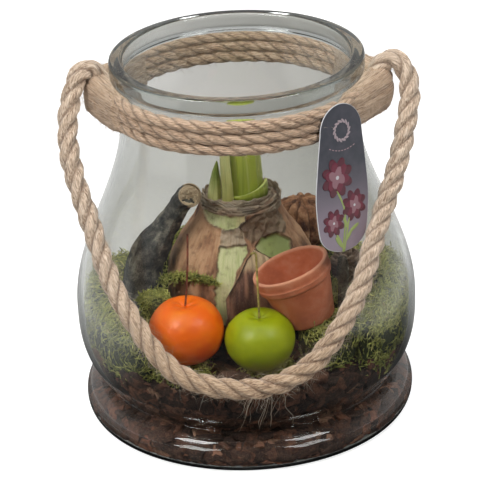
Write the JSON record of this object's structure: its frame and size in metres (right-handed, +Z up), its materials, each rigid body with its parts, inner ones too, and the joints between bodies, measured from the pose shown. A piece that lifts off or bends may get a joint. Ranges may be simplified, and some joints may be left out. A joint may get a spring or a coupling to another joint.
{
  "type": "amaryllis in glass vase",
  "caption": "Amaryllis bulb coming into growth in a bell-shaped glass vase with a jute collar and rope handle, bedded in bark and moss with apples, a clay pot and a hang card.",
  "frame": {"origin": "middle of the vase's flat underside, on the surface it stands on", "axes": "+Z up, -Y towards the front where the handle hangs, +X to the side of the hang card"},
  "size_m": [0.2061, 0.2123, 0.2197],
  "materials": {
    "glass": "clear, thick, faintly smoky grey-green, polished",
    "jute": "natural laid jute, hairy",
    "card": "dark slate printed card with a fine pale edge",
    "mulch": "coarse damp bark mulch",
    "moss": "dried green moss strands",
    "tunic": "dry papery bulb scales over pale green flesh",
    "leaf": "waxy green leaf",
    "bark": "weathered grey-brown bark with a pale cut end",
    "orange_skin": "glossy orange apple skin",
    "green_skin": "glossy yellow-green apple skin",
    "red_wire": "thin reddish wrapped wire",
    "olive_wire": "thin olive wrapped wire",
    "terracotta": "unglazed terracotta, chalky on its edges",
    "pod": "dry ribbed seed pod",
    "cone": "dark scaly cone"
  },
  "bodies": {
    "root": {"glass_vase": "glass", "collar_cord": "jute", "rope_handle": "jute", "hang_card": "card", "bark_mulch": "mulch", "moss_left": "moss", "moss_right": "moss", "moss_back": "moss", "moss_tuft": "moss", "moss_orange_seat": "moss", "moss_green_seat": "moss", "moss_cone_seat": "moss", "moss_pot_seat": "moss", "bulb": "tunic", "bulb_flap": "tunic", "flower_shoot": "leaf", "leaf_left": "leaf", "leaf_narrow": "leaf", "leaf_right": "leaf", "bark_stick": "bark", "bark_strip": "bark", "orange_apple": "orange_skin", "orange_wire": "red_wire", "green_apple": "green_skin", "green_wire": "olive_wire", "terracotta_pot": "terracotta", "ribbed_pod": "pod", "small_cone": "cone", "bark_chip_1": "bark", "bark_chip_2": "bark", "bark_chip_3": "bark", "bark_chip_4": "bark"}
  },
  "joints": []
}
